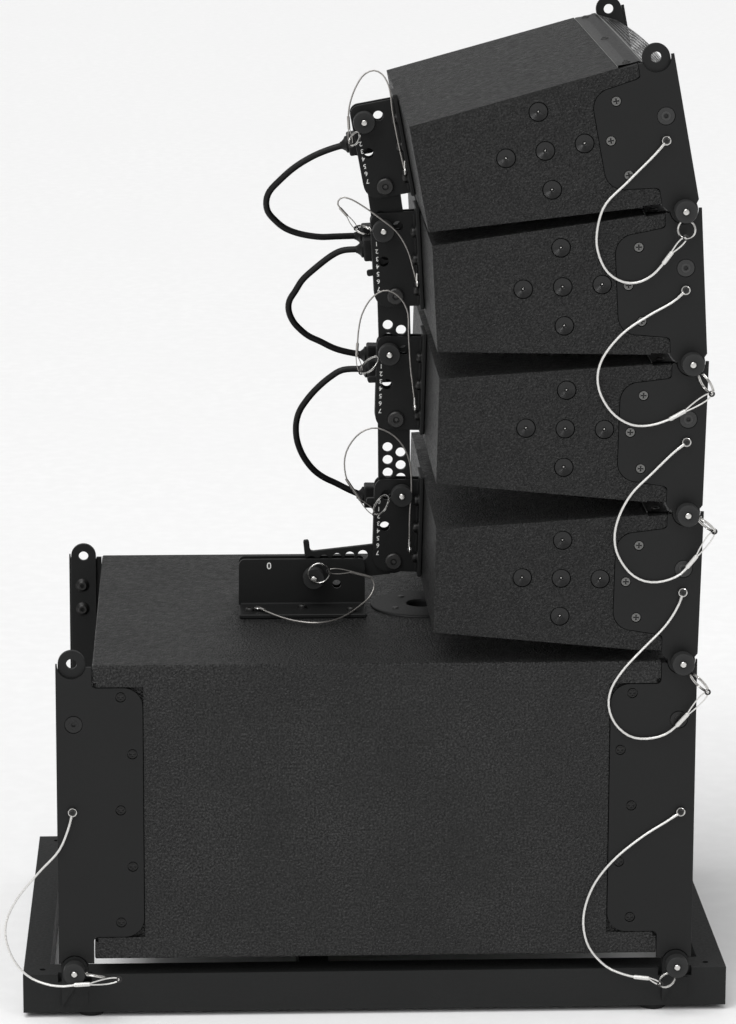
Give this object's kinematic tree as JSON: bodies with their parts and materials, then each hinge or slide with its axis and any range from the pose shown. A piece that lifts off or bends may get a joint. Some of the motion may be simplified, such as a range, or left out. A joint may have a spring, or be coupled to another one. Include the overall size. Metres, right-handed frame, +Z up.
{
  "type": "line array speaker",
  "caption": "Ground-stacked line array: tapered loudspeaker elements on a subwoofer and base frame, joined by side rigging plates, pins and rear hole bars.",
  "frame": {"origin": "centre of the footprint on the floor, under the middle of the base frame", "axes": "+Z up, +X the way the sound leaves (the grille side), Y across the width; left is the -Y side, as seen from the front"},
  "size_m": [0.918, 0.636, 1.2711],
  "materials": {
    "cabinet_coating": "near-black pebbled polyurea coating on plywood",
    "plate_black": "satin black powder coat on steel",
    "grille_black": "satin black perforated steel",
    "frame_black": "fine-textured black powder coat",
    "pin_black": "satin black heads on steel shanks",
    "driver_black": "matt black cones, frames and horn",
    "cable_black": "matt black rubber sheath"
  },
  "bodies": {
    "base_sub": {"base_frame": "frame_black", "sub_cabinet": "cabinet_coating", "sub_grille": "grille_black", "sub_pole_cup": "plate_black", "sub_top_bracket": "plate_black", "sub_front_plate_left": "plate_black", "sub_front_plate_right": "plate_black", "sub_rear_plate_left": "plate_black", "sub_rear_plate_right": "plate_black", "sub_woofer_left": "driver_black", "sub_woofer_right": "driver_black"},
    "element_4": {"element_4_cabinet": "cabinet_coating", "element_4_grille": "grille_black", "element_4_driver_module": "driver_black", "element_4_plate_left": "plate_black", "element_4_plate_right": "plate_black", "element_4_rear_bracket": "plate_black"},
    "link_4": {"element_4_link_bar": "plate_black"},
    "front_pin_4_left": {"element_4_front_pin_left": "pin_black"},
    "front_pin_4_right": {"element_4_front_pin_right": "pin_black"},
    "rear_pin_4": {"element_4_rear_pin": "pin_black"},
    "element_3": {"element_3_cabinet": "cabinet_coating", "element_3_grille": "grille_black", "element_3_driver_module": "driver_black", "element_3_plate_left": "plate_black", "element_3_plate_right": "plate_black", "element_3_rear_bracket": "plate_black", "speaker_cable_3": "cable_black"},
    "link_3": {"element_3_link_bar": "plate_black"},
    "front_pin_3_left": {"element_3_front_pin_left": "pin_black"},
    "front_pin_3_right": {"element_3_front_pin_right": "pin_black"},
    "rear_pin_3": {"element_3_rear_pin": "pin_black"},
    "element_2": {"element_2_cabinet": "cabinet_coating", "element_2_grille": "grille_black", "element_2_driver_module": "driver_black", "element_2_plate_left": "plate_black", "element_2_plate_right": "plate_black", "element_2_rear_bracket": "plate_black", "speaker_cable_2": "cable_black"},
    "link_2": {"element_2_link_bar": "plate_black"},
    "front_pin_2_left": {"element_2_front_pin_left": "pin_black"},
    "front_pin_2_right": {"element_2_front_pin_right": "pin_black"},
    "rear_pin_2": {"element_2_rear_pin": "pin_black"},
    "element_1": {"element_1_cabinet": "cabinet_coating", "element_1_grille": "grille_black", "element_1_driver_module": "driver_black", "element_1_plate_left": "plate_black", "element_1_plate_right": "plate_black", "element_1_rear_bracket": "plate_black", "speaker_cable_1": "cable_black"},
    "link_1": {"element_1_link_bar": "plate_black"},
    "front_pin_1_left": {"element_1_front_pin_left": "pin_black"},
    "front_pin_1_right": {"element_1_front_pin_right": "pin_black"},
    "rear_pin_1": {"element_1_rear_pin": "pin_black"},
    "sub_bracket_pin": {"sub_top_bracket_pin": "pin_black"},
    "base_front_pin_left": {"base_front_pin_left": "pin_black"},
    "base_front_pin_right": {"base_front_pin_right": "pin_black"},
    "base_rear_pin_left": {"base_rear_pin_left": "pin_black"},
    "base_rear_pin_right": {"base_rear_pin_right": "pin_black"}
  },
  "joints": [
    {"name": "splay_4", "type": "hinge", "parent": "base_sub", "child": "element_4", "pos_m": [0.3915, 0, 0.476], "axis": [0, -1, 0], "range_deg": [-2, 2]},
    {"name": "link_4_swing", "type": "hinge", "parent": "element_4", "child": "link_4", "pos_m": [0.03435, 0, 0.53962], "axis": [0, -1, 0], "range_deg": [-9.2, 9.2]},
    {"name": "front_pin_4_left_slide", "type": "slide", "parent": "element_4", "child": "front_pin_4_left", "axis": [0, -1, 0], "range_m": [0, 0.03]},
    {"name": "front_pin_4_right_slide", "type": "slide", "parent": "element_4", "child": "front_pin_4_right", "axis": [0, 1, 0], "range_m": [0, 0.03]},
    {"name": "rear_pin_4_slide", "type": "slide", "parent": "element_4", "child": "rear_pin_4", "axis": [0, -1, 0], "range_m": [0, 0.03]},
    {"name": "splay_3", "type": "hinge", "parent": "element_4", "child": "element_3", "pos_m": [0.39394, 0, 0.67149], "axis": [0, -1, 0], "range_deg": [0, 7.5], "deforming": ["speaker_cable_3"]},
    {"name": "link_3_swing", "type": "hinge", "parent": "element_3", "child": "link_3", "pos_m": [0.03679, 0, 0.73511], "axis": [0, -1, 0], "range_deg": [-8, 0.5]},
    {"name": "front_pin_3_left_slide", "type": "slide", "parent": "element_3", "child": "front_pin_3_left", "axis": [0, -1, 0], "range_m": [0, 0.03]},
    {"name": "front_pin_3_right_slide", "type": "slide", "parent": "element_3", "child": "front_pin_3_right", "axis": [0, 1, 0], "range_m": [0, 0.03]},
    {"name": "rear_pin_3_slide", "type": "slide", "parent": "element_3", "child": "rear_pin_3", "axis": [0, -1, 0], "range_m": [0, 0.03]},
    {"name": "splay_2", "type": "hinge", "parent": "element_3", "child": "element_2", "pos_m": [0.39637, 0, 0.86699], "axis": [0, -1, 0], "range_deg": [-4.5, 3], "deforming": ["speaker_cable_2"]},
    {"name": "link_2_swing", "type": "hinge", "parent": "element_2", "child": "link_2", "pos_m": [0.03533, 0, 0.90239], "axis": [0, -1, 0], "range_deg": [-3.5, 5]},
    {"name": "front_pin_2_left_slide", "type": "slide", "parent": "element_2", "child": "front_pin_2_left", "axis": [0, -1, 0], "range_m": [0, 0.03]},
    {"name": "front_pin_2_right_slide", "type": "slide", "parent": "element_2", "child": "front_pin_2_right", "axis": [0, 1, 0], "range_m": [0, 0.03]},
    {"name": "rear_pin_2_slide", "type": "slide", "parent": "element_2", "child": "rear_pin_2", "axis": [0, -1, 0], "range_m": [0, 0.03]},
    {"name": "splay_1", "type": "hinge", "parent": "element_2", "child": "element_1", "pos_m": [0.38346, 0, 1.06207], "axis": [0, -1, 0], "range_deg": [-7.5, 0], "deforming": ["speaker_cable_1"]},
    {"name": "link_1_swing", "type": "hinge", "parent": "element_1", "child": "link_1", "pos_m": [0.02089, 0, 1.05005], "axis": [0, -1, 0], "range_deg": [-0.5, 8]},
    {"name": "front_pin_1_left_slide", "type": "slide", "parent": "element_1", "child": "front_pin_1_left", "axis": [0, -1, 0], "range_m": [0, 0.03]},
    {"name": "front_pin_1_right_slide", "type": "slide", "parent": "element_1", "child": "front_pin_1_right", "axis": [0, 1, 0], "range_m": [0, 0.03]},
    {"name": "rear_pin_1_slide", "type": "slide", "parent": "element_1", "child": "rear_pin_1", "axis": [0, -1, 0], "range_m": [0, 0.03]},
    {"name": "sub_bracket_pin_slide", "type": "slide", "parent": "base_sub", "child": "sub_bracket_pin", "axis": [0, -1, 0], "range_m": [0, 0.03]},
    {"name": "base_front_pin_left_slide", "type": "slide", "parent": "base_sub", "child": "base_front_pin_left", "axis": [0, -1, 0], "range_m": [0, 0.03]},
    {"name": "base_front_pin_right_slide", "type": "slide", "parent": "base_sub", "child": "base_front_pin_right", "axis": [0, 1, 0], "range_m": [0, 0.03]},
    {"name": "base_rear_pin_left_slide", "type": "slide", "parent": "base_sub", "child": "base_rear_pin_left", "axis": [0, -1, 0], "range_m": [0, 0.03]},
    {"name": "base_rear_pin_right_slide", "type": "slide", "parent": "base_sub", "child": "base_rear_pin_right", "axis": [0, 1, 0], "range_m": [0, 0.03]}
  ],
  "couplings": [
    {"joint": "link_4_swing", "follows": "splay_4", "ratio": -4.44},
    {"joint": "link_3_swing", "follows": "splay_3", "ratio": -1},
    {"joint": "link_2_swing", "follows": "splay_2", "ratio": -1},
    {"joint": "link_1_swing", "follows": "splay_1", "ratio": -1}
  ]
}
